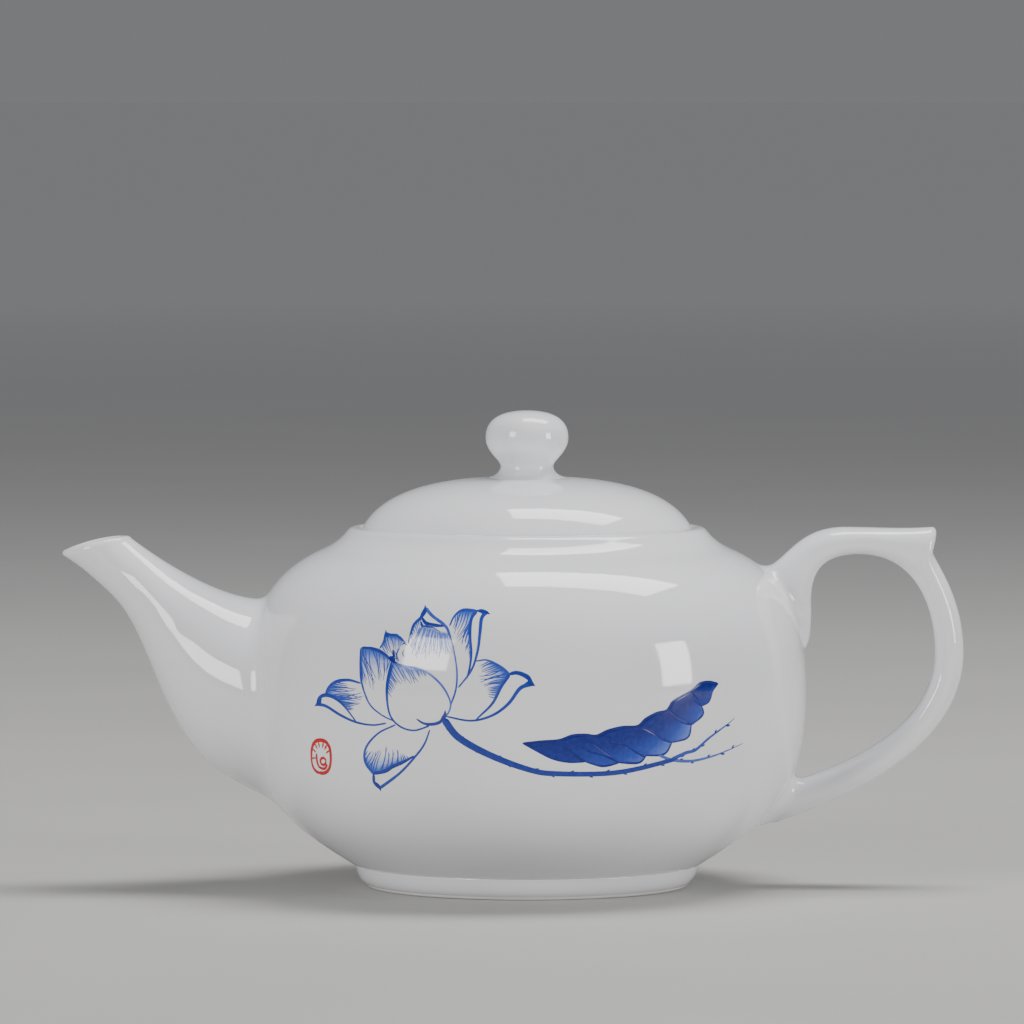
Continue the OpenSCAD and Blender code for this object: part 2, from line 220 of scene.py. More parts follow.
def fired(name, points, faces, *materials):
    """A smooth piece from points in millimetres."""
    mesh = bpy.data.meshes.new(name)
    mesh.from_pydata((np.array(points) * 0.001).tolist(), [], faces)
    mesh.polygons.foreach_set("use_smooth", [True] * len(mesh.polygons))
    for material in materials:
        mesh.materials.append(material)
    mesh.update()
    piece = bpy.data.objects.new(name, mesh)
    bpy.context.scene.collection.objects.link(piece)
    return piece


def turned(outline, sides=256):
    """Points and faces of a closed outline, as radius and height, turned about the upright axis."""
    points, rings, faces = [], [], []
    angles = np.linspace(0, 2 * math.pi, sides, endpoint=False)
    for radius, height in outline:
        if radius < 1e-6:
            rings.append([len(points)] * sides)
            points.append((0, 0, height))
        else:
            rings.append(list(range(len(points), len(points) + sides)))
            points += [(radius * math.cos(a), radius * math.sin(a), height) for a in angles]
    loop = outline[0][0] > 1e-6
    for i in range(len(rings) - (0 if loop else 1)):
        low, high = rings[i], rings[(i + 1) % len(rings)]
        for k in range(sides):
            face = [low[k], low[(k + 1) % sides], high[(k + 1) % sides], high[k]]
            face = [v for j, v in enumerate(face) if v != face[j - 1]]
            if len(face) > 2:
                faces.append(face)
    return points, faces


def finished(piece):
    """The piece with its modifiers made part of a plain mesh."""
    ready = bpy.data.meshes.new_from_object(piece.evaluated_get(bpy.context.evaluated_depsgraph_get()))
    piece.modifiers.clear()
    piece.data = ready
    return piece


def mended(piece, faces_out=False):
    """The piece without the faces of no area that cuts leave, and with every face turned out if asked."""
    shape = bmesh.new()
    shape.from_mesh(piece.data)
    bmesh.ops.dissolve_degenerate(shape, dist=2e-7, edges=shape.edges)
    if faces_out:
        bmesh.ops.recalc_face_normals(shape, faces=shape.faces)
    shape.to_mesh(piece.data)
    shape.free()
    return piece


def glaze(name, roughness=0.06):
    """Clear glossy glaze on cool white porcelain, with the faint waviness of a dipped glaze."""
    finish = Finish(name, IOR=1.52, Coat_Roughness=0.03)
    cloud = finish.noise(38.0, 3.0)
    finish.white = finish.add(
        "ShaderNodeValToRGB", {"stops": [(0.3, (0.845, 0.850, 0.880)), (0.7, (0.872, 0.875, 0.900))]}, {"Fac": cloud})
    finish.feed(
        Base_Color=finish.white,
        Roughness=finish.noise(120.0) * 0.03 + (roughness - 0.015),
        Normal=finish.add(
            "ShaderNodeBump", {}, {"Strength": 0.05, "Distance": 0.0006, "Height": finish.noise(70.0, 1.0)}))
    return finish


body_low, body_high = sizes_of("pot_body")
foot_h = body_low[2]
collar_z = body_high[2]
belly = np.array([body_high[0], 32.0])
foot_top_r = 28.8
wall = 2.8
shoulder = np.array([33.8, collar_z - 3.6])
mouth_r = 24.5
lid_r = sizes_of("lid_dome")[1][0]
recess_r = lid_r + 0.35
bead_r = recess_r + 1.3
seat_z = sizes_of("lid_dome")[0][2]
outlet_r = 8.5
outlet_z = 27.0

bowl_line = curve([
    [foot_top_r, foot_h],
    [mix(foot_top_r, belly[0], 0.57), mix(foot_h, belly[1], 0.22)],
    [belly[0], mix(foot_h, belly[1], 0.37)],
    belly], 40)
shoulder_line = curve([
    belly,
    [belly[0], mix(belly[1], shoulder[1], 0.33)],
    [belly[0], mix(belly[1], shoulder[1], 0.78)],
    shoulder], 40)
cove_top = np.array([bead_r + 1.2, collar_z - 0.95])
cove_line = curve([
    shoulder,
    mix(shoulder, cove_top, 0.4) + [0, -0.4],
    mix(shoulder, cove_top, 0.7) + [-0.15, -0.35],
    cove_top], 12)
bead_line = curve([cove_top, [bead_r + 0.5, collar_z], [bead_r, collar_z], [recess_r + 0.5, collar_z]], 10)
outer_line = np.concatenate([bowl_line[:-1], shoulder_line[:-1], cove_line[:-1], bead_line])

bowl_inside = beside(bowl_line, wall)
shoulder_inside = beside(shoulder_line, wall)
neck = shoulder_inside[-1]
throat_line = curve([
    neck,
    mix(neck, np.array([mouth_r, seat_z]), 0.35) + [0, -0.4],
    [mouth_r, mix(neck[1], seat_z, 0.25)],
    [mouth_r, mix(neck[1], seat_z, 0.6)]], 16)
recess_edge = curve([
    [recess_r + 0.5, collar_z], [recess_r + 0.15, collar_z],
    [recess_r, collar_z - 0.15], [recess_r, collar_z - 0.5]], 6)
seat_corner = curve([
    [recess_r, seat_z + 0.3], [recess_r, seat_z + 0.1], [recess_r - 0.1, seat_z], [recess_r - 0.3, seat_z]], 4)
mouth_edge = curve([
    [mouth_r + 0.5, seat_z], [mouth_r + 0.15, seat_z], [mouth_r, seat_z - 0.15], [mouth_r, seat_z - 0.5]], 6)
body_outline = np.concatenate([
    [[0, foot_h], [14, foot_h], [foot_top_r - 3, foot_h], [foot_top_r - 0.3, foot_h]],
    outer_line[:-1], recess_edge, seat_corner, mouth_edge, throat_line[::-1],
    shoulder_inside[-2::-1], bowl_inside[-2::-1],
    [[bowl_inside[0][0] - 1, bowl_inside[0][1]], [14, bowl_inside[0][1]], [0, bowl_inside[0][1]]]])


def body_radius(height):
    return np.interp(height, outer_line[:, 1], outer_line[:, 0])


body_glaze = glaze("white glaze of the body")
pot_body = fired("body_shell", *turned(body_outline), body_glaze.material)
outlet_points, outlet_faces = turned([(0, 0), (outlet_r, 0), (outlet_r, 4 * wall), (0, 4 * wall)], 96)
outlet_points = [(height - belly[0] - wall, y, outlet_z - x) for x, y, height in outlet_points]
outlet_cutter = fired("outlet_cutter", outlet_points, outlet_faces)
outlet_cut = pot_body.modifiers.new("outlet", "BOOLEAN")
outlet_cut.object = outlet_cutter
outlet_cut.operation = "DIFFERENCE"
outlet_cut.solver = "EXACT"
mended(finished(pot_body))
bpy.data.objects.remove(outlet_cutter)
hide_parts("pot_body")
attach(pot_body, "pot")


# Foot ring: a low ring luted under the body. Its sides are glazed and its
# resting edge is wiped bare before firing, so it is matt and faintly warm.

foot_r = 26.8
foot_t = 2.8
foot_edge = 0.5
bare_height = 0.35
foot_outline = np.concatenate([
    curve([[foot_top_r - 0.1, foot_h - 0.2], [foot_top_r - 0.5, foot_h * 0.5],
           [foot_r + 0.9, foot_h * 0.25], [foot_r, foot_edge]], 14)[::-1],
    [[foot_top_r, foot_h], [foot_r - foot_t - 0.5, foot_h], [foot_r - foot_t, foot_edge]],
    curve([[foot_r - foot_t, foot_edge], [foot_r - foot_t + 0.1, 0.1],
           [foot_r - foot_t + 0.2, 0], [foot_r - foot_t + foot_edge, 0]], 5)[1:],
    curve([[foot_r - foot_edge - 0.2, 0], [foot_r - 0.3, 0],
           [foot_r - 0.1, 0.15], [foot_r, foot_edge]], 6)[:-1]])
foot_glaze = glaze("foot glaze with a bare rim")
foot_height = foot_glaze.add("ShaderNodeSeparateXYZ", {}, {"Vector": foot_glaze.place()}, 2)
foot_grain = foot_glaze.noise(900.0, 4.0)
foot_bare = (((bare_height * 0.001) - foot_height) * 9000.0 + foot_grain * 1.6 - 0.4).clamped()
foot_colour = foot_glaze.add(
    "ShaderNodeMix", {"data_type": "RGBA"}, {0: foot_bare, 6: foot_glaze.white, 7: (0.74, 0.71, 0.67, 1.0)}, 2)
foot_glaze.feed(Base_Color=foot_colour, Roughness=foot_bare * 0.55 + 0.07)
foot_ring = fired("foot_ring_turned", *turned(foot_outline), foot_glaze.material)
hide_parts("foot_ring")
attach(foot_ring, "pot")


# Strainer: a thin dome with nineteen pierced holes in three rows, luted over
# the outlet on the inside of the body and glazed with it.

class Nodes:
    """A Geometry Nodes tree on a piece: its inputs by name and its links in the order they are made."""

    def __init__(self, name):
        self.tree = bpy.data.node_groups.new(name, "GeometryNodeTree")
        self.tree.interface.new_socket("Geometry", in_out="INPUT", socket_type="NodeSocketGeometry")
        self.tree.interface.new_socket("Geometry", in_out="OUTPUT", socket_type="NodeSocketGeometry")
        self.inward = self.tree.nodes.new("NodeGroupInput")
        self.outward = self.tree.nodes.new("NodeGroupOutput")
        self.chosen = {}

    def input(self, name, kind, value):
        socket = self.tree.interface.new_socket(name, in_out="INPUT", socket_type=kind)
        self.chosen[socket.identifier] = value
        return self.inward.outputs[name]

    def add(self, kind, settings, inputs, output=0):
        node = self.tree.nodes.new(kind)
        for name, value in settings.items():
            setattr(node, name, value)
        for name, value in inputs.items():
            for source in value if isinstance(value, list) else [value]:
                if isinstance(source, bpy.types.NodeSocket):
                    self.tree.links.new(source, node.inputs[name])
                else:
                    node.inputs[name].default_value = source
        return node.outputs[output]

    def give(self, geometry, material):
        """Ends the tree with real geometry in one material."""
        real = self.add("GeometryNodeRealizeInstances", {}, {"Geometry": geometry})
        painted = self.add("GeometryNodeSetMaterial", {}, {"Geometry": real, "Material": material})
        self.tree.links.new(painted, self.outward.inputs[0])

    def work_on(self, piece):
        step = piece.modifiers.new(self.tree.name, "NODES")
        step.node_group = self.tree
        for identifier, value in self.chosen.items():
            step[identifier] = value
        return finished(piece)


strainer_r = 11.0
strainer_d = 5.0
strainer_t = 1.5
strainer_hole = 2.4
strainer_rows = [(0.0, 1), (0.36, 6), (0.7, 12)]
strainer_ball = (strainer_r ** 2 + strainer_d ** 2) / (2 * strainer_d)
strainer_x = -math.sqrt((belly[0] - wall) ** 2 - strainer_r ** 2)


def dome_arc(ball, rim):
    angles = np.linspace(0, math.asin(rim / ball), 18)
    return np.stack([ball * np.sin(angles), strainer_d - strainer_ball + ball * np.cos(angles)], axis=1)


strainer_outline = np.concatenate([
    dome_arc(strainer_ball, strainer_r),
    [[strainer_r, -wall], [strainer_r - strainer_t, -wall]],
    dome_arc(strainer_ball - strainer_t, strainer_r - strainer_t)[::-1]])[::-1]
dome_points, dome_faces = turned(strainer_outline, 96)
strainer_glaze = glaze("glaze over the strainer")
strainer = fired("strainer_dome", dome_points, dome_faces, strainer_glaze.material)
piercing = Nodes("strainer holes")
pierce_r = piercing.input("Dome radius", "NodeSocketFloat", strainer_r * 0.001)
pierce_d = piercing.input("Hole radius", "NodeSocketFloat", strainer_hole * 0.0005)
pierce_depth = piercing.input("Depth", "NodeSocketFloat", strainer_d * 0.004)
pierce_turn = piercing.input("Turn", "NodeSocketVector", (0.0, math.radians(90), 0.0))
pierce_place = piercing.input("Place", "NodeSocketVector", (strainer_x * 0.001, 0.0, outlet_z * 0.001))
pierce_finish = piercing.input("Finish", "NodeSocketMaterial", strainer_glaze.material)
pierce_points = []
for share, count in strainer_rows:
    ring_r = piercing.add("ShaderNodeMath", {"operation": "MULTIPLY"}, {0: pierce_r, 1: share})
    if count == 1:
        pierce_points.append(piercing.add("GeometryNodeMeshLine", {}, {"Count": 1}))
    else:
        pierce_points.append(piercing.add("GeometryNodeMeshCircle", {}, {"Vertices": count, "Radius": ring_r}))
pierce_rows = piercing.add("GeometryNodeJoinGeometry", {}, {"Geometry": pierce_points})
pierce_drill = piercing.add(
    "GeometryNodeMeshCylinder", {}, {"Vertices": 32, "Radius": pierce_d, "Depth": pierce_depth})
pierce_drills = piercing.add(
    "GeometryNodeInstanceOnPoints", {}, {"Points": pierce_rows, "Instance": pierce_drill})
pierce_real = piercing.add("GeometryNodeRealizeInstances", {}, {"Geometry": pierce_drills})
pierced = piercing.add(
    "GeometryNodeMeshBoolean", {"operation": "DIFFERENCE", "solver": "EXACT"},
    {"Mesh 1": piercing.inward.outputs[0], "Mesh 2": pierce_real})
pierce_set = piercing.add(
    "GeometryNodeTransform", {}, {"Geometry": pierced, "Rotation": pierce_turn, "Translation": pierce_place})
piercing.give(pierce_set, pierce_finish)
piercing.work_on(strainer)

room_outline = np.concatenate([
    [[0, bowl_inside[0][1]]],
    beside(bowl_line, wall - 0.3), beside(shoulder_line, wall - 0.3), [[0, shoulder_inside[-1][1]]]])
room_shape = fired("room_shape", *turned(room_outline, 128))
strainer_trim = strainer.modifiers.new("trim to the wall", "BOOLEAN")
strainer_trim.object = room_shape
strainer_trim.operation = "INTERSECT"
strainer_trim.solver = "EXACT"
mended(finished(strainer))
bpy.data.objects.remove(room_shape)
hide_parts("spout_strainer")
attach(strainer, "pot")


# Spout: cast hollow, wide at its root and bent like a neck, with a slanted
# oval mouth. It is luted to the body and the joint is wiped to a soft fillet.

def sunk_to(point, depth):
    """The point moved level to the body's surface, and then in by a depth."""
    radius = body_radius(point[2]) - depth
    return np.array([*(point[:2] * radius / np.linalg.norm(point[:2])), point[2]])


def wiped(line, middle, along, spread, drop=0.0, steps=9):
    """A line that starts inside the body, met with a fillet.

    The fillet leaves the line at a distance along it past the body's surface, and meets
    the body at a distance away from the middle of the joint. A drop of 1 ends it in a
    rounded tail that hangs down the body instead.
    """
    outside = np.linalg.norm(line[:, :2], axis=1) - np.array([body_radius(z) for z in line[:, 2]])
    first = int(np.argmax(outside > 0))
    share = outside[first - 1] / (outside[first - 1] - outside[first])
    corner = sunk_to(mix(line[first - 1], line[first], share), 0)
    run = np.concatenate([[corner], line[first:]])
    length = np.concatenate([[0], np.cumsum(np.linalg.norm(np.diff(run, axis=0), axis=1))])
    places = mix(along, length[-1], np.linspace(0, 1, len(line)))
    rest = np.stack([np.interp(places, length, run[:, axis]) for axis in range(3)], axis=1)
    away = corner - middle
    away /= np.linalg.norm(away)
    landing = sunk_to(corner + away * spread, 0)
    bend = mix(mix(landing, corner, 0.62), sunk_to(landing, -1.1) + [0, 0, 0.8], drop)
    leave = mix(mix(rest[0], corner, 0.62), rest[0] - [0, 0, 3.0], drop)
    fillet = curve([landing, bend, leave, rest[0]], steps, last=False)
    return np.concatenate([[sunk_to(landing, 0.3)], fillet, rest])


def tube_faces(rows, sides, around=False):
    """Faces of lines that lie side by side; the last line meets the first, and the ends meet if asked."""
    faces = []
    for i in range(rows if around else rows - 1):
        for k in range(sides):
            up = (i + 1) % rows
            here, beyond = k * rows, (k + 1) % sides * rows
            faces.append((here + i, beyond + i, beyond + up, here + up))
    return faces


spout_sides = 72
spout_steps = 56
spout_reach = -sizes_of("spout")[0][0]
spout_tip_z = 55.8
mouth_l = 11.3
mouth_w = 9.6
mouth_tilt = math.radians(12.5)
spout_root_w = 34.0
spout_wall = 1.9
lip = np.array([-spout_reach, spout_tip_z])
mouth_back = lip + mouth_l * np.array([math.cos(mouth_tilt), math.sin(mouth_tilt)])
mouth_up = np.array([-math.sin(mouth_tilt), 0, math.cos(mouth_tilt)])
root_top = np.array([-43.0, mix(belly[1], shoulder[1], 0.655)])
root_low = np.array([-foot_top_r - 11.5, foot_h + 9.6])
knee = np.array([-spout_reach * 0.8, mix(root_low[1], lip[1], 0.51)])
spout_upper = curve([root_top, root_top + [-7, -0.7], mouth_back + [5.7, -4.4], mouth_back], spout_steps)
spout_lower = np.concatenate([
    curve([root_low, root_low + [-10.8, 5.7], knee + [6.4, -15.8], knee], spout_steps // 2, last=False),
    curve([knee, knee + [-5.4, 13.3], lip + [10.2, -9], lip], spout_steps // 2)])
spout_half = curve([[spout_root_w / 2], [spout_root_w * 0.46], [mouth_w * 0.55], [mouth_w / 2]], spout_steps)[:, 0]


def spout_line(angle, inset):
    """One line along the spout, from inside the body to the mouth."""
    arm = (spout_upper - spout_lower) / 2
    tall = arm * (1 - inset / np.linalg.norm(arm, axis=1))[:, None]
    middle = (spout_upper + spout_lower) / 2
    out = middle + tall * math.cos(angle)
    line = np.stack([out[:, 0], (spout_half - inset) * math.sin(angle), out[:, 1]], axis=1)
    inside = line[0] + np.linspace(9, 0.5, 10)[:, None] * np.array([1, 0, 0])
    return np.concatenate([inside, line])


spout_lines = []
root_middle = np.array([(root_top[0] + root_low[0]) / 2, 0, (root_top[1] + root_low[1]) / 2])
for k in range(spout_sides):
    angle = 2 * math.pi * k / spout_sides
    top = max(0.0, math.cos(angle)) ** 2
    outside_line = wiped(spout_line(angle, 0), root_middle, 2.6 - 1.2 * top, 2.4 - 1.0 * top)
    inside_line = wiped(spout_line(angle, spout_wall), root_middle, 0.6, -0.3, steps=3)
    swell = mouth_up * (0.55 + 0.45 * math.sin(angle) ** 2)
    pout = np.array([-0.75, 0, -0.15]) * max(0.0, -math.cos(angle)) ** 3
    outside_line[-8:] += pout * np.linspace(0, 1, 8)[:, None] ** 2
    rim = curve([outside_line[-2], outside_line[-1] + swell, inside_line[-1] + swell, inside_line[-2]], 10)
    spout_lines.append(np.concatenate([outside_line[:-2], rim, inside_line[-3::-1]]))
spout_rows = len(spout_lines[0])
spout_glaze = glaze("white glaze of the spout")
spout = fired(
    "spout_cast", np.concatenate(spout_lines), tube_faces(spout_rows, spout_sides, around=True), spout_glaze.material)
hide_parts("spout")
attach(spout, "pot")


# Handle: a strap pressed in a mould, a squared loop with a thumb spur at its
# outer corner. Its upper root spreads over the shoulder and ends in a drop,
# and its lower root runs down into the body.

handle_reach = sizes_of("handle")[1][0]
handle_top_z = sizes_of("handle")[1][2]
handle_t = 4.7
handle_w = 7.0
spur = 3.0
handle_sides = 40
finer = 4
strap_out = np.array([handle_reach, mix(foot_h, handle_top_z, 0.63)])
strap_in = strap_out - [handle_t + 0.1, 0]
loop_out = np.array([mix(belly[0], handle_reach, 0.25), handle_top_z])
loop_in = np.array([mix(belly[0], handle_reach, 0.33), handle_top_z - handle_t + 0.2])
upper_root_z = mix(belly[1], shoulder[1], 0.86)
upper_root = np.array([body_radius(upper_root_z), upper_root_z])
tail_root = np.array([belly[0] + 0.9, mix(belly[1], shoulder[1], 0.575)])
lower_out = np.array([body_radius(foot_h + 6.4) + 2, foot_h + 6.4])
lower_in = np.array([body_radius(foot_h + 13.7) + 0.4, foot_h + 13.7])
spur_tip = np.array([handle_reach - 5.4, handle_top_z])
spur_notch = np.array([handle_reach - 5.2, handle_top_z - 0.6 - spur])
handle_outer = np.concatenate([
    curve([upper_root, upper_root + [4.2, 1.8], loop_out - [8, 0], loop_out], 10 * finer, last=False),
    curve([loop_out, loop_out + [5, 0], spur_tip - [5, 0.4], spur_tip], 7 * finer, last=False),
    curve([spur_tip, spur_tip + [1.2, 0], spur_notch + [0.7, 1.9], spur_notch], 6 * finer, last=False),
    curve([spur_notch, spur_notch + [-0.6, -1.3], strap_out + [0, 10.2], strap_out], 10 * finer, last=False),
    curve([strap_out, strap_out - [0, 12.1], lower_out + [21.9, 7.2], lower_out], 16 * finer)])
loop_corner = curve([loop_in, loop_in + [9.8, 0], strap_in + [0, 7.2], strap_in], 100)
corner_places = np.concatenate([
    np.linspace(0, 38, 7 * finer + 1)[:-1], np.linspace(38, 50, 6 * finer + 1)[:-1],
    np.linspace(50, 100, 10 * finer + 1)[:-1]])
handle_inner = np.concatenate([
    curve([tail_root, tail_root + [0, 3.2], loop_in - [8.5, 0], loop_in], 10 * finer, last=False),
    np.stack([np.interp(corner_places, np.arange(101), loop_corner[:, axis]) for axis in range(2)], axis=1),
    curve([strap_in, strap_in - [0, 13.8], lower_in + [6.9, 2.4], lower_in], 16 * finer)])
handle_half = curve(
    [[handle_w * 0.72], [handle_w * 0.42], [handle_w * 0.46], [handle_w * 0.62]], len(handle_outer) - 1)[:, 0]


def eased(line, reach=14):
    """A line with its corners smoothed over a number of its points."""
    weights = np.hanning(2 * reach + 3)[1:-1]
    padded = np.pad(line, ((reach, reach), (0, 0)), mode="edge")
    return np.stack([np.convolve(padded[:, axis], weights / weights.sum(), "valid") for axis in range(2)], axis=1)


handle_middle = (handle_outer + handle_inner) / 2
handle_arm = (handle_outer - handle_inner) / 2
soft_middle, soft_arm = eased(handle_middle), eased(handle_arm)


def handle_line(angle):
    """One line along the handle, from inside the body at its upper root to inside it at its lower root."""
    square = 2 / 2.25
    up = math.copysign(abs(math.cos(angle)) ** square, math.cos(angle))
    side = math.copysign(abs(math.sin(angle)) ** square, math.sin(angle))
    edge = mix(handle_middle + handle_arm * up, soft_middle + soft_arm * up, abs(side) ** 1.5)
    line = np.stack([edge[:, 0], handle_half * side, edge[:, 1]], axis=1)
    before = line[0] + np.linspace(8, 0.5, 8)[:, None] * np.array([-1, 0, -0.8]) * 0.8
    after = line[-1] + np.linspace(0.5, 7, 8)[:, None] * np.array([-1, 0, 0.3])
    return np.concatenate([before, line, after])


handle_lines = []
upper_middle = np.array([43.5, 0, 50.0])
lower_middle = np.array([*mix(lower_out, lower_in, 0.5)[:1], 0, mix(lower_out, lower_in, 0.5)[1]])
for k in range(handle_sides):
    angle = 2 * math.pi * k / handle_sides
    line = handle_line(angle)
    half = len(line) // 2
    drop = max(0.0, -math.cos(angle)) ** 5
    upper = wiped(line[:half], upper_middle, 1.8 + 1.3 * drop, 2.0 + 3.0 * drop, drop)
    lower = wiped(line[:half - 1:-1], lower_middle, 3.2, 2.8 + 1.8 * max(0.0, math.cos(angle)))
    handle_lines.append(np.concatenate([upper, lower[::-1]]))
handle_rows = len(handle_lines[0])
handle_points = np.concatenate(handle_lines + [[
    sunk_to(np.mean([line[0] for line in handle_lines], axis=0), 0.8),
    sunk_to(np.mean([line[-1] for line in handle_lines], axis=0), 0.8)]])
handle_faces = tube_faces(handle_rows, handle_sides)
handle_start, handle_end = len(handle_points) - 2, len(handle_points) - 1
for k in range(handle_sides):
    following = (k + 1) % handle_sides
    handle_faces.append((handle_start, following * handle_rows, k * handle_rows))
    handle_faces.append((handle_end, k * handle_rows + handle_rows - 1, following * handle_rows + handle_rows - 1))
handle_glaze = glaze("white glaze of the handle")
handle = fired("handle_pressed", handle_points, [face[::-1] for face in handle_faces], handle_glaze.material)
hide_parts("handle")
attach(handle, "pot")


# Lid: a low dome with a steam vent, a flange under it that drops into the
# mouth, and a knob with a flat rounded top. The three are turned, luted
# together and lifted off as one.

lid_top = seat_z + 10.2
lid_under = lid_top - 2.6
flange_r = mouth_r - 0.5
flange_in = flange_r - 2.2
vent_r = 1.1
vent_d = 13.0
dome_outline = np.concatenate([
    curve([[lid_r - 0.5, seat_z], [lid_r - 0.15, seat_z], [lid_r, seat_z + 0.15], [lid_r, seat_z + 0.5]], 6),
    curve([[lid_r, collar_z], [lid_r * 0.85, mix(collar_z, lid_top, 0.86)],
           [lid_r * 0.427, lid_top], [0, lid_top]], 60),
    curve([[0, lid_under], [flange_in * 0.5, lid_under],
           [flange_in - 1.2, mix(seat_z, lid_under, 0.9)], [flange_in, seat_z]], 30)])
dome_outline[abs(dome_outline[:, 0]) < 1e-6, 0] = 0
lid_glaze = glaze("white glaze of the lid")
lid_dome = fired("lid_dome_turned", *turned(dome_outline), lid_glaze.material)
vent_points, vent_faces = turned([(0, seat_z), (vent_r, seat_z), (vent_r, lid_top + 2), (0, lid_top + 2)], 48)
vent_cutter = fired("vent_cutter", [(x, y + vent_d, z) for x, y, z in vent_points], vent_faces)
vent_cut = lid_dome.modifiers.new("vent", "BOOLEAN")
vent_cut.object = vent_cutter
vent_cut.operation = "DIFFERENCE"
vent_cut.solver = "EXACT"
mended(finished(lid_dome))
bpy.data.objects.remove(vent_cutter)
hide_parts("lid_dome")
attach(lid_dome, "lid")

flange_low = sizes_of("lid_flange")[0][2]
flange_outline = np.concatenate([
    [[flange_r, seat_z], [flange_in, seat_z]],
    curve([[flange_in, flange_low + 0.8], [flange_in, flange_low + 0.3],
           [flange_in + 0.3, flange_low], [flange_in + 0.8, flange_low]], 6),
    curve([[flange_r - 0.9, flange_low], [flange_r - 0.3, flange_low],
           [flange_r, flange_low + 0.3], [flange_r, flange_low + 0.9]], 6)])
lid_flange = fired("lid_flange_turned", *turned(flange_outline), lid_glaze.material)
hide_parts("lid_flange")
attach(lid_flange, "lid")

knob_top = sizes_of("lid_knob")[1][2]
knob_r = sizes_of("lid_knob")[1][0]
neck_r = 4.4
waist_z = lid_top + 1.8
wide_z = knob_top - 4.5
knob_outline = np.concatenate([
    [[0, lid_top - 0.4], [neck_r + 1.9, lid_top - 0.4]],
    curve([[neck_r + 1.9, lid_top - 0.1], [neck_r + 0.7, lid_top + 0.25],
           [neck_r, lid_top + 0.9], [neck_r, waist_z]], 16, last=False),
    curve([[neck_r, waist_z], [neck_r, waist_z + 0.9], [knob_r, wide_z - 2.4], [knob_r, wide_z]], 24, last=False),
    curve([[knob_r, wide_z], [knob_r, knob_top - 1.3], [knob_r * 0.6, knob_top], [0, knob_top]], 30)])
lid_knob = fired("lid_knob_turned", *turned(knob_outline, 128), lid_glaze.material)
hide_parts("lid_knob")
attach(lid_knob, "lid")

# Lotus print: a cobalt transfer fired under the clear glaze, drawn in brush
# lines with a tint that is dense at the petals' tips and runs out in fine
# strokes. Points are across and up from the flower's base, in millimetres.

flower_place = np.array([-13.0, 31.3])
blue_deep = (0.003, 0.011, 0.185)
blue_line = (0.022, 0.062, 0.420)
blue_mid = (0.130, 0.220, 0.700)
blue_pale = (0.430, 0.510, 0.820)


def print_finish(name, stops):
    """Colour under the glaze that goes from the glaze's own white, where ink is 0, to the densest at 1."""
    finish = glaze(name)
    ink = finish.add("ShaderNodeAttribute", {"attribute_name": "ink"}, {}, "Fac")
    broken = (ink + (finish.noise(1400.0, 3.0) - 0.5) * 0.22 * ink).clamped()
    colour = finish.add("ShaderNodeValToRGB", {"stops": stops}, {"Fac": broken})
    cover = (ink * 5.0).clamped()
    finish.feed(Base_Color=finish.add(
        "ShaderNodeMix", {"data_type": "RGBA"}, {0: cover, 6: finish.white, 7: colour}, 2))
    return finish.material


cobalt_print = print_finish("cobalt print", [
    (0.0, blue_pale), (0.25, blue_pale), (0.5, blue_mid), (0.75, blue_line), (1.0, blue_deep)])


def smooth_line(points, count):
    """An even line through the points."""
    p = np.array(points, float)
    if len(p) > 2:
        ends = np.concatenate([[2 * p[0] - p[1]], p, [2 * p[-1] - p[-2]]])
        t = np.linspace(0, 1, 12, endpoint=False)[:, None]
        parts = [
            0.5 * (2 * b + (c - a) * t + (2 * a - 5 * b + 4 * c - d) * t ** 2 + (3 * b - a - 3 * c + d) * t ** 3)
            for a, b, c, d in zip(ends, ends[1:], ends[2:], ends[3:])]
        p = np.concatenate(parts + [p[-1:]])
    length = np.concatenate([[0], np.cumsum(np.linalg.norm(np.diff(p, axis=0), axis=1))])
    places = np.linspace(0, length[-1], count)
    return np.stack([np.interp(places, length, p[:, axis]) for axis in range(2)], axis=1)


def on_front(points, lift):
    """Points of the print laid on the front of the body, and lifted off it."""
    flat = np.array(points) + flower_place
    radius = body_radius(flat[:, 1]) + lift
    return np.stack([flat[:, 0], -np.sqrt(radius ** 2 - flat[:, 0] ** 2), flat[:, 1]], axis=1)


def tinted(name, patches, material, sinking=0.0):
    """A thin skin on the body for each patch, which is its first edge, its second edge and the ink across it.

    Sinking is how far the skin goes down at its second edge, so that it ends in the glaze where its ink has run out.
    """
    across, along = 14, 40
    points, faces, inks, smooth = [], [], [], []
    for first, second, ink in patches:
        edge_a, edge_b = smooth_line(first, along), smooth_line(second, along)
        start = len(points)
        for lift in (0.008, -0.05):
            for j in range(across + 1):
                points += on_front(mix(edge_a, edge_b, j / across), lift - sinking * (j / across) ** 8).tolist()
                inks += [ink(i / (along - 1), j / across) for i in range(along)]
        top = np.arange((across + 1) * along).reshape(across + 1, along) + start
        low = top + top.size
        for sheet in (top, low):
            faces += np.stack(
                [sheet[:-1, :-1], sheet[:-1, 1:], sheet[1:, 1:], sheet[1:, :-1]], axis=-1).reshape(-1, 4).tolist()
        border = [
            np.concatenate([sheet[0, :-1], sheet[:-1, -1], sheet[-1, :0:-1], sheet[:0:-1, 0]])
            for sheet in (top, low)]
        faces += np.stack(
            [border[0], np.roll(border[0], -1), np.roll(border[1], -1), border[1]], axis=-1).tolist()
        smooth += [True] * (2 * across * (along - 1)) + [False] * len(border[0])
    piece = fired(name, points, faces, material)
    piece.data.polygons.foreach_set("use_smooth", smooth)
    piece.data.attributes.new("ink", "FLOAT", "POINT").data.foreach_set("value", inks)
    return mended(piece, faces_out=True)


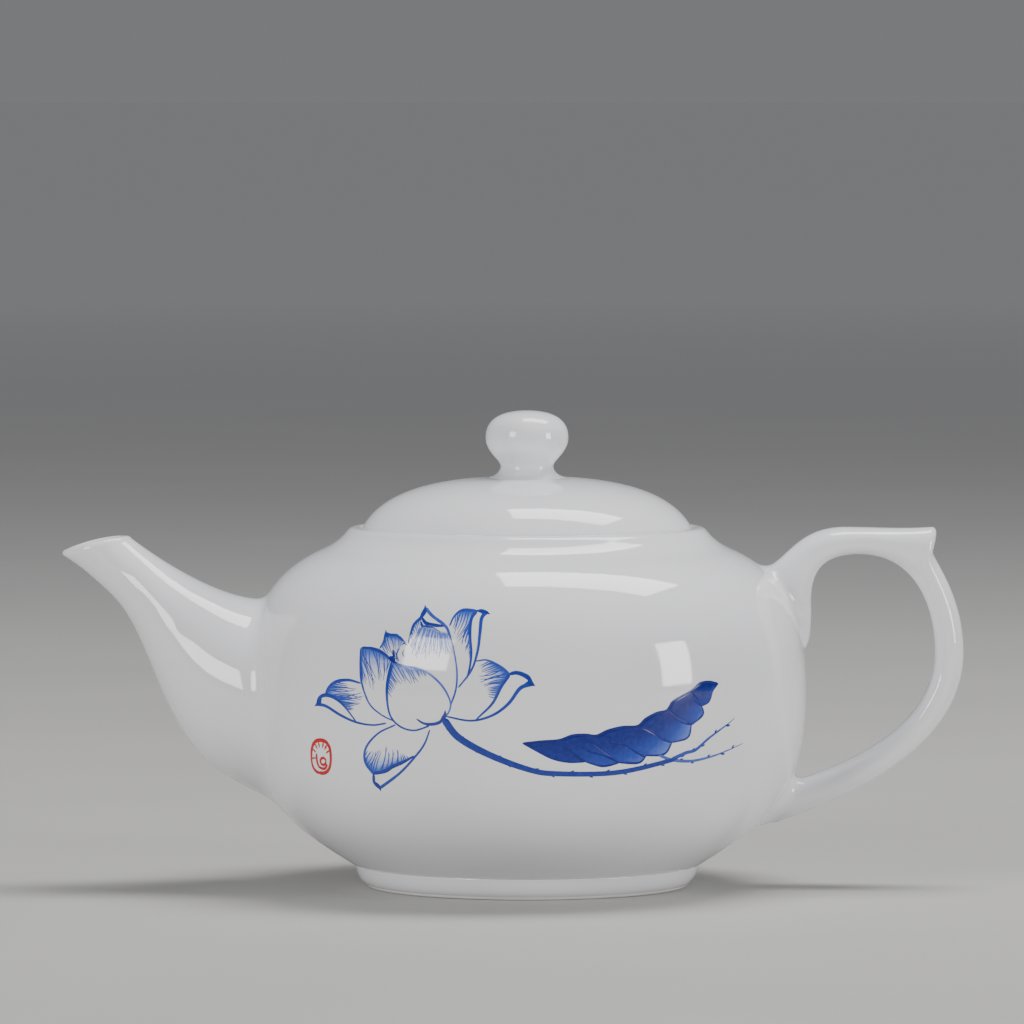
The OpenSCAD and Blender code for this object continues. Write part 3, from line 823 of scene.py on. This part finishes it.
def brush_strokes(material):
    """Geometry Nodes that turn each line on the glaze into a flat rounded stroke of its own width."""
    brush = Nodes("brush strokes")
    sides = brush.input("Sides", "NodeSocketInt", 8)
    flatten = brush.input("Flatten", "NodeSocketFloat", 0.95)
    finish = brush.input("Finish", "NodeSocketMaterial", material)
    width = brush.add("GeometryNodeInputNamedAttribute", {"data_type": "FLOAT"}, {"Name": "half_width"})
    way_out = brush.add("GeometryNodeInputNamedAttribute", {"data_type": "FLOAT_VECTOR"}, {"Name": "outward"})
    heart = brush.add("GeometryNodeInputNamedAttribute", {"data_type": "FLOAT_VECTOR"}, {"Name": "heart"})
    lines = brush.add("GeometryNodeMeshToCurve", {}, {"Mesh": brush.inward.outputs[0]})
    tip = brush.add("GeometryNodeCurvePrimitiveCircle", {}, {"Resolution": sides, "Radius": 1.0})
    stroke = brush.add(
        "GeometryNodeCurveToMesh", {}, {"Curve": lines, "Profile Curve": tip, "Scale": width, "Fill Caps": True})
    place = brush.add("GeometryNodeInputPosition", {}, {})
    offset = brush.add("ShaderNodeVectorMath", {"operation": "SUBTRACT"}, {0: place, 1: heart})
    height = brush.add("ShaderNodeVectorMath", {"operation": "DOT_PRODUCT"}, {0: offset, 1: way_out}, 1)
    pressed = brush.add("ShaderNodeMath", {"operation": "MULTIPLY"}, {0: height, 1: flatten})
    inward = brush.add("ShaderNodeMath", {"operation": "MULTIPLY"}, {0: pressed, 1: -1.0})
    shift = brush.add("ShaderNodeVectorMath", {"operation": "SCALE"}, {0: way_out, "Scale": inward})
    flat = brush.add("GeometryNodeSetPosition", {}, {"Geometry": stroke, "Offset": shift})
    brush.give(flat, finish)
    return brush


def drawn(name, strokes, material):
    """A piece of brush strokes; a stroke is its points, half widths along it and its ink."""
    points, edges, widths, inks = [], [], [], []
    for line, half_widths, ink in strokes:
        length = np.linalg.norm(np.diff(np.array(line), axis=0), axis=1).sum()
        count = max(8, int(length * 3))
        start = len(points)
        points += on_front(smooth_line(line, count), 0.016).tolist()
        edges += [(start + i, start + i + 1) for i in range(count - 1)]
        along = np.linspace(0, 1, count)
        ends = np.clip(np.minimum(along, 1 - along) * length / 0.35, 0.6, 1)
        widths += (np.interp(along, np.linspace(0, 1, len(half_widths)), half_widths) * ends * 1.18).tolist()
        inks += [ink] * count
    piece = fired(name, points, [], material)
    piece.data.edges.add(len(edges))
    piece.data.edges.foreach_set("vertices", [v for edge in edges for v in edge])
    piece.data.update()
    heart = np.array(points) * 0.001
    heights = np.array(points)[:, 2]
    slope = (body_radius(heights + 0.3) - body_radius(heights - 0.3)) / 0.6
    out = np.array(points) / np.linalg.norm(np.array(points)[:, :2], axis=1)[:, None]
    out[:, 2] = -slope
    out /= np.linalg.norm(out, axis=1)[:, None]
    attributes = piece.data.attributes
    attributes.new("half_width", "FLOAT", "POINT").data.foreach_set("value", np.array(widths) * 0.001)
    attributes.new("ink", "FLOAT", "POINT").data.foreach_set("value", inks)
    attributes.new("outward", "FLOAT_VECTOR", "POINT").data.foreach_set("vector", out.ravel())
    attributes.new("heart", "FLOAT_VECTOR", "POINT").data.foreach_set("vector", heart.ravel())
    brush_strokes(material).work_on(piece)
    piece.data.polygons.foreach_set("use_smooth", [True] * len(piece.data.polygons))
    return mended(piece, faces_out=True)


# Each tint: its dense edge, the edge where it has run out, its strength, how many fine strokes it ends in
petal_tints = [
    ([(-14.0, 7.5), (-13.9, 10.9), (-12.1, 10.9), (-10.2, 10.2), (-8.9, 9.0)],
     [(-13.9, 5.4), (-12.9, 5.2), (-11.8, 5.6), (-10.6, 6.3), (-9.6, 7.4)], 0.80, 16),
    ([(-10.8, 11.0), (-10.2, 12.1), (-9.9, 13.4), (-9.2, 13.2), (-7.9, 13.1), (-6.8, 12.1)],
     [(-9.9, 10.4), (-9.4, 10.3), (-9.0, 10.3), (-8.6, 10.3), (-8.1, 10.4), (-7.6, 10.8)], 0.86, 8),
    ([(-9.5, 4.0), (-9.5, 6.1), (-8.8, 8.9), (-6.8, 8.3), (-4.7, 8.0), (-3.2, 7.4)],
     [(-9.0, 3.2), (-8.5, 4.3), (-7.6, 5.4), (-6.0, 5.8), (-4.4, 6.3), (-3.0, 7.0)], 0.74, 22),
    ([(-18.3, 5.2), (-19.3, 4.2), (-19.8, 3.0), (-18.4, 2.6), (-16.9, 1.5), (-16.0, 0.6)],
     [(-16.2, 5.0), (-15.8, 4.5), (-15.0, 3.7), (-14.3, 2.6), (-14.8, 1.6), (-15.5, 0.6)], 0.84, 18),
    ([(-4.0, 16.2), (-4.7, 15.6), (-5.3, 14.9), (-5.9, 13.2)],
     [(-3.9, 14.9), (-4.5, 14.3), (-5.0, 13.4), (-5.6, 12.4)], 0.62, 7),
    ([(-4.4, 14.6), (-3.9, 14.8), (-2.4, 14.6), (-1.0, 14.0), (0.2, 13.9)],
     [(-6.0, 11.4), (-4.6, 10.4), (-2.6, 10.2), (-0.8, 10.4), (0.9, 11.0)], 0.26, 24),
    ([(1.3, 16.3), (2.6, 17.3), (4.5, 17.2), (4.0, 15.9), (3.8, 13.4), (4.0, 10.6)],
     [(1.0, 14.8), (1.5, 14.1), (2.1, 13.4), (2.7, 12.4), (3.3, 11.0), (3.8, 9.8)], 0.80, 20),
    ([(6.8, 9.5), (8.7, 8.5), (10.1, 7.2), (8.8, 5.2), (7.8, 3.3)],
     [(5.6, 8.8), (5.8, 7.8), (6.0, 6.6), (6.4, 5.0), (6.9, 3.6)], 0.84, 20),
    ([(-13.2, -6.4), (-13.1, -8.2), (-11.9, -9.4), (-10.0, -9.0), (-8.8, -8.2), (-7.1, -7.4), (-5.7, -6.6)],
     [(-12.9, -5.8), (-12.2, -5.7), (-11.2, -5.6), (-10.0, -5.5), (-8.8, -5.5), (-7.8, -5.8), (-6.4, -6.3)], 0.84, 20)]


def running_out(strength):
    return lambda along, across: strength * (1 - across) ** 2.2 * min(1.0, 8 * along, 8 * (1 - along))


lotus_tint = tinted(
    "lotus_tint", [(dense, faint, running_out(strength)) for dense, faint, strength, count in petal_tints],
    cobalt_print, sinking=0.014)
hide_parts("lotus_transfer")
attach(lotus_tint, "pot")

fine, plain, bold = [0.10, 0.08, 0.04], [0.10, 0.17, 0.12], [0.14, 0.25, 0.16]
lotus_outline = [
    ([(-8.8, 8.9), (-6.8, 8.3), (-4.7, 8.0), (-2.7, 7.1), (-0.6, 5.1), (0.6, 2.8), (0.5, 1.3), (-0.2, 0.2)],
     plain, 0.62),
    ([(-8.8, 8.9), (-9.5, 6.1), (-9.7, 3.5), (-9.2, 0.3), (-7.6, -1.5), (-5.3, -2.1), (-2.8, -1.3)],
     [0.30, 0.24, 0.16, 0.14, 0.14], 0.80),
    ([(-4.9, -0.2), (-3.7, -0.9), (-2.2, -1.0), (-0.9, -0.5), (-0.3, 0.6)], [0.10, 0.20, 0.24, 0.20], 0.88),
    ([(-13.9, 10.9), (-14.0, 8.0), (-13.8, 5.2), (-12.6, 2.0), (-10.7, 0.3), (-8.6, -0.7)],
     [0.26, 0.24, 0.16, 0.14, 0.12], 0.76),
    ([(-13.9, 10.9), (-12.1, 10.9), (-10.2, 10.2), (-8.8, 8.9)], bold, 0.82),
    ([(-14.0, 5.2), (-16.0, 5.6), (-18.1, 5.2), (-19.3, 4.2), (-19.9, 2.9)], bold, 0.76),
    ([(-21.2, 1.3), (-20.9, 2.3), (-19.9, 2.9), (-18.4, 2.6), (-16.8, 1.4), (-14.8, -1.0)],
     [0.26, 0.28, 0.22, 0.14, 0.12], 0.82),
    ([(-21.2, 1.3), (-19.7, 1.1), (-17.3, -0.2), (-14.7, -1.2), (-12.0, -1.5), (-9.8, -1.1)],
     [0.24, 0.22, 0.18, 0.14, 0.12], 0.78),
    ([(-9.9, 13.5), (-10.2, 12.1), (-10.9, 10.9)], [0.22, 0.18, 0.12], 0.80),
    ([(-9.9, 13.5), (-9.2, 13.2), (-7.9, 13.1), (-6.7, 12.0)], [0.20, 0.20, 0.14], 0.80),
    ([(-3.4, 17.6), (-4.0, 16.5), (-4.1, 16.1), (-5.3, 14.9), (-5.9, 13.2), (-6.2, 11.9)],
     [0.26, 0.28, 0.24, 0.16, 0.12], 0.80),
    ([(-3.4, 17.6), (-2.3, 16.4), (-0.5, 15.1), (0.3, 14.0), (1.2, 10.8), (1.7, 7.5), (1.5, 4.6), (0.6, 2.0)],
     [0.26, 0.24, 0.14, 0.12, 0.14, 0.14], 0.70),
    ([(-4.1, 16.2), (-3.3, 15.2), (-1.9, 14.9), (-0.3, 14.8)], [0.16, 0.30, 0.28, 0.14], 0.86),
    ([(-4.1, 15.4), (-3.9, 14.7), (-2.4, 14.5), (-1.0, 13.9)], [0.20, 0.26, 0.14, 0.06], 0.82),
    ([(0.5, 14.8), (1.2, 16.3), (2.6, 17.4), (4.9, 17.3)], [0.12, 0.16, 0.22, 0.22], 0.76),
    ([(4.9, 17.3), (5.8, 17.3), (6.6, 17.1)], [0.24, 0.28, 0.22], 0.86),
    ([(6.6, 17.1), (5.7, 16.2), (5.4, 13.7), (5.0, 10.8), (4.0, 7.8), (1.9, 5.0)], [0.28, 0.22, 0.16, 0.12], 0.76),
    ([(4.9, 17.2), (4.0, 15.9), (3.8, 13.4), (4.0, 10.6), (3.8, 8.5), (3.3, 6.5)], [0.22, 0.22, 0.18, 0.12], 0.80),
    ([(4.7, 9.3), (6.6, 9.5), (8.7, 8.5), (10.2, 7.2)], [0.10, 0.14, 0.20, 0.22], 0.72),
    ([(10.2, 7.3), (11.5, 7.5), (13.1, 6.8), (13.8, 5.7)], [0.24, 0.30, 0.34, 0.24], 0.86),
    ([(13.8, 5.7), (11.9, 5.0), (10.0, 2.5), (7.4, 0.6), (4.0, -0.3), (0.0, 0.3)], [0.30, 0.22, 0.16, 0.12], 0.80),
    ([(10.2, 7.2), (8.8, 5.2), (7.4, 2.5), (4.8, -0.1)], [0.24, 0.24, 0.18, 0.12], 0.80),
    ([(-8.3, -1.3), (-11.1, -2.8), (-13.1, -5.2), (-13.3, -7.6), (-11.9, -9.6)], [0.12, 0.14, 0.20, 0.24], 0.74),
    ([(-2.7, -1.9), (-3.6, -4.3), (-5.1, -6.4), (-7.6, -9.2), (-10.9, -11.9)], [0.12, 0.16, 0.18, 0.24], 0.76),
    ([(-11.9, -9.6), (-11.8, -11.0), (-10.9, -11.9)], [0.24, 0.26, 0.28], 0.86),
    ([(-11.9, -9.5), (-10.0, -9.0), (-8.8, -8.2), (-7.1, -7.4), (-5.3, -6.3)], [0.24, 0.28, 0.24, 0.14], 0.86),
    ([(-9.3, 9.6), (-8.7, 9.3), (-8.0, 8.8)], [0.40, 0.52, 0.40], 0.92),
    ([(-8.7, 10.8), (-8.4, 9.8), (-8.4, 8.8)], [0.24, 0.34, 0.30], 0.92),
    ([(-7.7, 11.1), (-8.1, 10.0), (-7.7, 9.0)], [0.10, 0.14, 0.12], 0.90),
    ([(-6.9, 10.9), (-7.1, 10.3), (-6.8, 9.7)], [0.08, 0.12, 0.08], 0.80),
    ([(-6.3, 11.6), (-6.9, 11.9), (-7.3, 11.5)], [0.08, 0.12, 0.08], 0.80),
    ([(-21.6, 1.0), (-20.9, 1.6), (-20.5, 2.3)], [0.12, 0.42, 0.20], 0.86),
    ([(-9.9, 13.9), (-9.8, 13.3), (-9.4, 12.8)], [0.10, 0.26, 0.10], 0.84),
    ([(-3.5, 18.0), (-3.5, 17.2), (-3.9, 16.2)], [0.12, 0.34, 0.26], 0.88),
    ([(7.0, 16.8), (6.3, 17.1), (5.2, 17.2)], [0.12, 0.34, 0.26], 0.88),
    ([(14.3, 5.4), (13.5, 5.8), (12.7, 5.8)], [0.12, 0.44, 0.18], 0.88),
    ([(-10.7, -12.4), (-11.0, -11.7), (-11.6, -10.9)], [0.12, 0.34, 0.18], 0.88),
    ([(-0.2, 1.3), (-0.3, 0.4), (-0.9, -0.4)], [0.10, 0.30, 0.26], 0.90)]
chance = random.Random(11)
lotus_hatching = []
for dense, faint, strength, count in petal_tints:
    dense_line, faint_line = smooth_line(dense, 200), smooth_line(faint, 200)
    for n in range(count):
        share = int(199 * (n + 0.5 + chance.uniform(-0.2, 0.2)) / count)
        reach = chance.uniform(0.86, 1.22)
        sway = chance.uniform(-0.10, 0.10)
        begin, end = mix(dense_line[share], faint_line[share], 0.05), mix(dense_line[share], faint_line[share], reach)
        across = np.array([begin[1] - end[1], end[0] - begin[0]])
        lotus_hatching.append(([begin, mix(begin, end, 0.5) + across * sway, end], fine, 0.46 + 0.30 * strength))
lotus_lines = drawn("lotus_lines", lotus_outline + lotus_hatching, cobalt_print)
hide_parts("lotus_transfer")
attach(lotus_lines, "pot")


# Stem print: one full brush line that swings down and right under the flower
# and splits into two shoots, with small thorns along both of its sides.

stem_way = [
    (-0.4, -0.2), (2.0, -3.1), (7.1, -5.9), (13.3, -8.2), (17.6, -8.9), (27.4, -8.9), (35.9, -7.3), (37.5, -6.7)]
shoot_high = [(36.4, -7.1), (38.8, -6.1), (40.4, -5.7), (42.6, -3.9), (45.6, -1.9), (46.9, -0.9)]
shoot_low = [(34.3, -6.2), (36.4, -7.1), (39.6, -7.5), (42.9, -7.0), (45.6, -6.2), (48.3, -5.2)]
stem_strokes = [
    (stem_way, [0.52, 0.48, 0.40, 0.36, 0.36, 0.32], 0.88),
    (shoot_high, [0.30, 0.26, 0.20, 0.14, 0.05], 0.74),
    (shoot_low, [0.20, 0.24, 0.18, 0.12, 0.05], 0.66)]
for way, count, length in ((stem_way, 13, 0.62), (shoot_high, 5, 0.40), (shoot_low, 6, 0.40)):
    line = smooth_line(way, 120)
    for n in range(count):
        place = int(119 * (n + 0.6 + chance.uniform(-0.25, 0.25)) / (count + 0.4))
        ahead = line[min(place + 1, 119)] - line[place - 1]
        ahead /= np.linalg.norm(ahead)
        side = np.array([-ahead[1], ahead[0]]) * (1 if n % 2 else -1)
        stem_strokes.append((
            [line[place] - ahead * 0.3, line[place] + side * length * 0.6, line[place] + side * length + ahead * 0.3],
            [0.24, 0.22, 0.10], 0.92))
stem_print = drawn("stem_drawn", stem_strokes, cobalt_print)
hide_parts("stem_transfer")
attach(stem_print, "pot")


# Leaf print: a rolled lotus leaf seen from its edge, deep blue along the top
# and lighter in the belly of each lobe, with a dark line under every lobe.

leaf_top = [
    (12.3, -3.9), (15.3, -3.6), (18.2, -3.4), (20.3, -2.7), (22.4, -2.6), (24.2, -2.8), (26.1, -2.0), (28.4, -1.5),
    (30.9, -1.4), (32.2, -0.3), (34.0, 0.6), (35.7, 1.0), (36.8, 2.5), (39.6, 4.0), (41.0, 5.1), (42.6, 5.3),
    (44.1, 4.9)]
leaf_lobes = [
    [(12.3, -3.9), (14.5, -5.1), (17.1, -6.4), (19.7, -7.0), (22.4, -7.0)],
    [(22.4, -7.0), (25.3, -7.8), (27.9, -7.3)],
    [(27.9, -7.3), (31.1, -7.4), (32.3, -6.3)],
    [(32.3, -6.3), (35.3, -6.1), (36.5, -4.3)],
    [(36.5, -4.3), (39.1, -3.6), (39.7, -1.6)],
    [(39.7, -1.6), (41.6, 0.0), (41.4, 1.4)],
    [(41.4, 1.4), (42.6, 2.1), (43.2, 3.8), (44.1, 4.9)]]
leaf_ribs = [
    [(22.4, -7.0), (20.2, -5.4), (17.6, -3.6)],
    [(27.9, -7.3), (26.1, -6.3), (23.4, -5.4), (21.6, -4.6)],
    [(32.2, -6.5), (30.6, -5.6), (29.0, -4.5), (25.8, -3.9)],
    [(36.5, -4.3), (34.8, -3.6), (33.2, -2.3), (31.1, -1.5)],
    [(39.8, -1.5), (38.5, -1.2), (36.9, -0.3), (35.9, 1.0)],
    [(41.4, 1.4), (40.4, 2.2), (39.9, 3.3), (39.7, 4.0)]]
leaf_top_line = smooth_line(leaf_top, 300)
leaf_light = [0.05, 0.24, 0.34, 0.46, 0.50, 0.34, 0.18]


def lobe_ink(light):
    """Deep along the leaf's top, lighter towards the lower right of the lobe."""
    return lambda along, across: 0.98 - light * (max(0.0, across - 0.30) / 0.70) ** 1.3 * min(1.0, 0.45 + along)


leaf_patches = []
lobe_ends = [0.0]
for lobe, rib in zip(leaf_lobes, leaf_ribs):
    lobe_ends.append(int(np.argmin(np.linalg.norm(leaf_top_line - np.array(rib[-1]), axis=1))) / 299)
lobe_ends.append(1.0)
for n, lobe in enumerate(leaf_lobes):
    top_part = leaf_top_line[int(lobe_ends[n] * 299):int(lobe_ends[n + 1] * 299) + 1]
    leaf_patches.append((top_part, lobe, lobe_ink(leaf_light[n])))
leaf_tint = tinted("leaf_tint", leaf_patches, cobalt_print)
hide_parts("leaf_transfer")
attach(leaf_tint, "pot")
leaf_lines = drawn(
    "leaf_lines",
    [(leaf_top, [0.14, 0.20, 0.20, 0.16], 1.0)] + [(lobe, [0.10, 0.16, 0.12], 0.96) for lobe in leaf_lobes]
    + [(rib, [0.15, 0.13, 0.07], 0.98) for rib in leaf_ribs], cobalt_print)
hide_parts("leaf_transfer")
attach(leaf_lines, "pot")


# Seal: a small upright oval in iron red, an open frame around spokes at the top,
# a small ring and a hook.

red_print = print_finish("iron red print", [
    (0.0, (0.66, 0.22, 0.20)), (0.5, (0.64, 0.026, 0.022)), (1.0, (0.56, 0.005, 0.006))])
seal_place = np.array([-20.6, -7.3])
seal_half = np.array([1.62, 2.75])


def around_seal(start, end, size, count=14):
    """Points on the seal's oval from one angle to another, at a share of its size."""
    angles = np.radians(np.linspace(start, end, count))
    ring = np.stack([np.cos(angles), np.sin(angles)], axis=1)
    ring = np.sign(ring) * abs(ring) ** 0.8
    return (seal_place + ring * seal_half * size).tolist()


seal_strokes = [
    (around_seal(-100, 265, 1.0, 40), [0.30, 0.22, 0.26, 0.30, 0.26, 0.20, 0.28], 0.9)]
for angle in (22, 52, 78, 102, 128, 158, 186):
    spoke = around_seal(angle, angle, 0.90, 1) + around_seal(angle, angle, 0.54, 1)
    seal_strokes.append((spoke, [0.20, 0.17, 0.14], 0.85))
bud = seal_place + [0.35, -0.75]
seal_strokes.append((
    [(bud[0] + 0.48 * math.cos(a), bud[1] + 0.62 * math.sin(a)) for a in np.linspace(0, 2 * math.pi, 13)],
    [0.20, 0.20], 0.9))
curl = np.array([(-0.75, 0.5), (-0.70, -0.7), (-0.3, -1.75), (0.6, -1.95), (1.05, -1.2)])
seal_strokes.append((seal_place + curl, [0.20, 0.22, 0.18], 0.85))
seal_print = drawn("seal_drawn", seal_strokes, red_print)
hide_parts("seal_transfer")
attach(seal_print, "pot")
